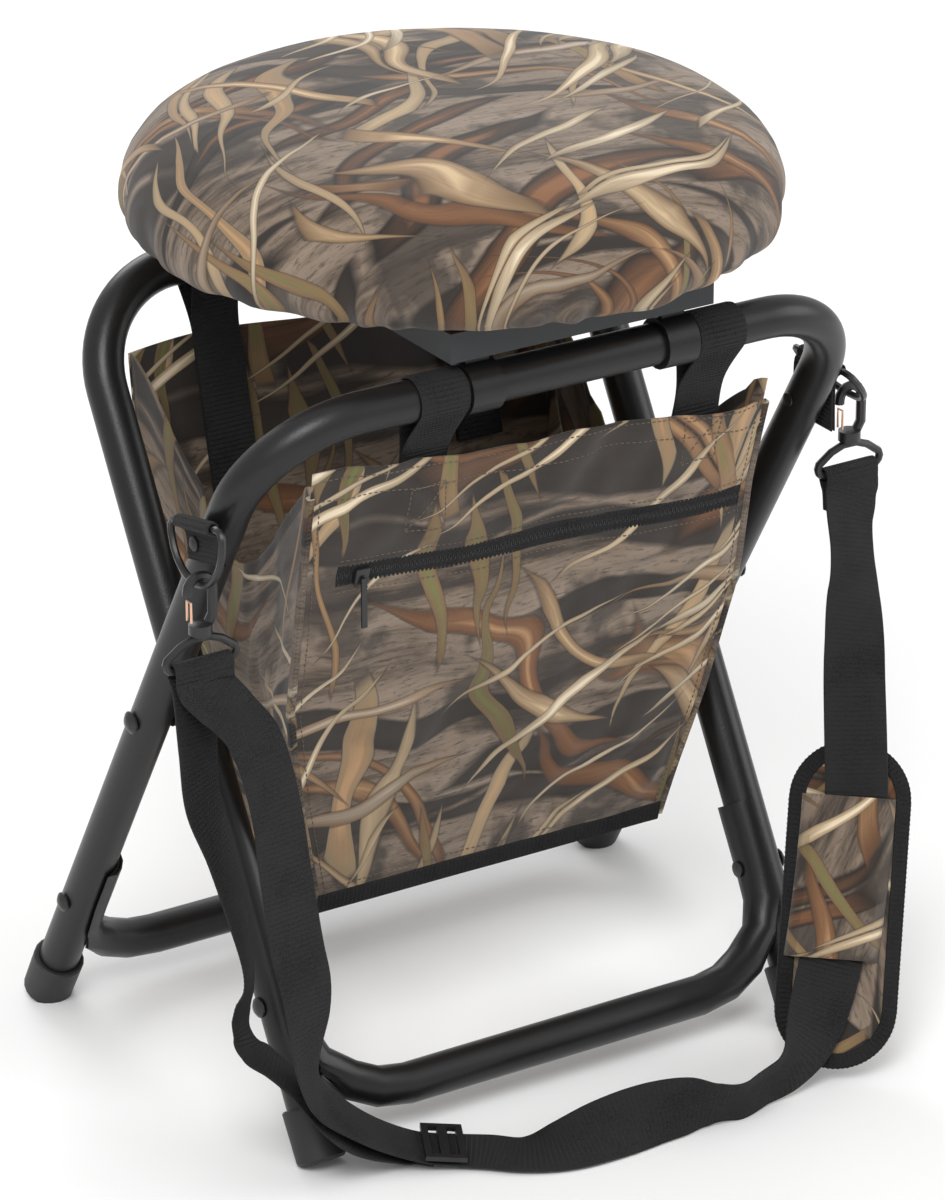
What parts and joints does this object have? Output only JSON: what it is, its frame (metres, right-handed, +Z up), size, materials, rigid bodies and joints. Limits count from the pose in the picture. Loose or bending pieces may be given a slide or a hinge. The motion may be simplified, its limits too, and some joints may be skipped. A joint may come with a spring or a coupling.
{
  "type": "folding swivel stool",
  "caption": "Folding stool on two crossed tube frames, with a swivelling round padded seat, a hanging zipped fabric bag and a clip-on padded shoulder strap.",
  "frame": {"origin": "on the ground, at the centre of the base of the part's box, which is 8.9 mm right of the crossed frames' own middle because the right hook hangs further out", "axes": "+Z up; +Y from the front top bar, where the seat is hinged and the bag's zip is, towards the rear top bar; +X to the right of someone looking from the front along +Y"},
  "size_m": [0.4635, 0.3895, 0.525],
  "materials": {
    "black_tube": "satin black powder coat",
    "black_fixing": "black oxide",
    "foot_rubber": "moulded rubber",
    "black_plastic": "moulded, semi-matte",
    "tray_steel": "charcoal textured powder coat",
    "turntable_steel": "zinc plated",
    "seat_board": "bare plywood",
    "seat_fabric": null,
    "bag_fabric": null,
    "zip_tape": "woven tape with a nylon coil",
    "webbing": "woven polypropylene",
    "pad_fabric": "padded, camouflage face with black binding",
    "gate_wire": "copper-coloured spring wire"
  },
  "bodies": {
    "outer_frame": {"outer_frame_tube": "black_tube", "outer_brace_tube": "black_tube", "outer_brace_rivet_left": "black_fixing", "outer_brace_rivet_right": "black_fixing", "pivot_bolt_left": "black_fixing", "pivot_bolt_right": "black_fixing", "pivot_nut_left": "black_fixing", "pivot_nut_right": "black_fixing", "dring_screw_left": "black_fixing", "dring_screw_right": "black_fixing", "outer_foot_cap_left": "foot_rubber", "outer_foot_cap_right": "foot_rubber", "pivot_spacer_left": "black_plastic", "pivot_spacer_right": "black_plastic", "hook_loop_left": "black_plastic", "hook_loop_right": "black_plastic", "strap_slider": "black_plastic", "bag_front_panel": "bag_fabric", "bag_bottom": "bag_fabric", "bag_gusset_left": "bag_fabric", "bag_gusset_right": "bag_fabric", "zipper_tape": "zip_tape", "front_loop_left": "webbing", "front_loop_right": "webbing", "dring_tab_left": "webbing", "dring_tab_right": "webbing", "strap_long": "webbing", "strap_return": "webbing", "shoulder_pad": "pad_fabric"},
    "inner_frame": {"inner_frame_tube": "black_tube", "inner_brace_tube": "black_tube", "bag_back_panel": "bag_fabric", "inner_brace_rivet_left": "black_fixing", "inner_brace_rivet_right": "black_fixing", "inner_foot_cap_left": "foot_rubber", "inner_foot_cap_right": "foot_rubber", "rear_loop_left": "webbing", "rear_loop_right": "webbing"},
    "seat_base": {"seat_tray": "tray_steel", "swivel_lower_plate": "turntable_steel", "swivel_ball_cage": "turntable_steel", "swivel_rivet": "turntable_steel", "hinge_collar_left": "tray_steel", "hinge_collar_right": "tray_steel", "rest_saddle_left": "black_plastic", "rest_saddle_right": "black_plastic"},
    "seat_top": {"swivel_upper_plate": "turntable_steel", "seat_board": "seat_board", "seat_cushion": "seat_fabric"},
    "zipper_slider": {"zipper_slider": "black_plastic"},
    "zipper_pull": {"zipper_pull": "black_plastic"},
    "dring_left": {"dring_left": "black_plastic"},
    "dring_right": {"dring_right": "black_plastic"},
    "hook_left": {"hook_left": "black_plastic"},
    "hook_right": {"hook_right": "black_plastic"},
    "hook_gate_left": {"hook_gate_left": "gate_wire"},
    "hook_gate_right": {"hook_gate_right": "gate_wire"}
  },
  "joints": [
    {"name": "frame_fold", "type": "hinge", "parent": "outer_frame", "child": "inner_frame", "pos_m": [-0.0089, 0, 0.21666], "axis": [1, 0, 0], "range_deg": [0, 50], "deforming": ["bag_gusset_left", "bag_gusset_right", "bag_bottom"]},
    {"name": "seat_flip", "type": "hinge", "parent": "outer_frame", "child": "seat_base", "pos_m": [-0.0089, -0.1165, 0.4154], "axis": [1, 0, 0], "range_deg": [0, 100]},
    {"name": "seat_swivel", "type": "hinge", "parent": "seat_base", "child": "seat_top", "pos_m": [-0.0029, 0, 0.45], "axis": [0, 0, 1], "continuous": true},
    {"name": "zipper_slide", "type": "slide", "parent": "outer_frame", "child": "zipper_slider", "axis": [0.999, 0.0105, -0.0437], "range_m": [0, 0.222]},
    {"name": "zipper_pull_swing", "type": "hinge", "parent": "zipper_slider", "child": "zipper_pull", "pos_m": [-0.12029, -0.10139, 0.31711], "axis": [1, 0, 0], "range_deg": [-110, 0]},
    {"name": "dring_swing_left", "type": "hinge", "parent": "outer_frame", "child": "dring_left", "pos_m": [-0.2069, -0.082, 0.3595], "axis": [0, 0.9781, -0.2079], "range_deg": [-0.5, 0.5]},
    {"name": "hook_swivel_left", "type": "hinge", "parent": "outer_frame", "child": "hook_left", "pos_m": [-0.20906, -0.08843, 0.30605], "axis": [0, 0, 1], "range_deg": [-10, 10]},
    {"name": "gate_swing_left", "type": "hinge", "parent": "hook_left", "child": "hook_gate_left", "pos_m": [-0.21546, -0.08843, 0.31055], "axis": [0, 1, 0], "range_deg": [0, 20], "stiffness_Nm_per_rad": 0.02},
    {"name": "dring_swing_right", "type": "hinge", "parent": "outer_frame", "child": "dring_right", "pos_m": [0.1891, -0.066, 0.3595], "axis": [0, 1, 0], "range_deg": [-0.5, 0.5]},
    {"name": "hook_swivel_right", "type": "hinge", "parent": "outer_frame", "child": "hook_right", "pos_m": [0.20903, -0.066, 0.31255], "axis": [0, 0, 1], "range_deg": [-10, 10]},
    {"name": "gate_swing_right", "type": "hinge", "parent": "hook_right", "child": "hook_gate_right", "pos_m": [0.20263, -0.066, 0.31705], "axis": [0, 1, 0], "range_deg": [0, 20], "stiffness_Nm_per_rad": 0.02}
  ],
  "couplings": [
    {"joint": "seat_flip", "follows": "frame_fold", "ratio": 2}
  ]
}
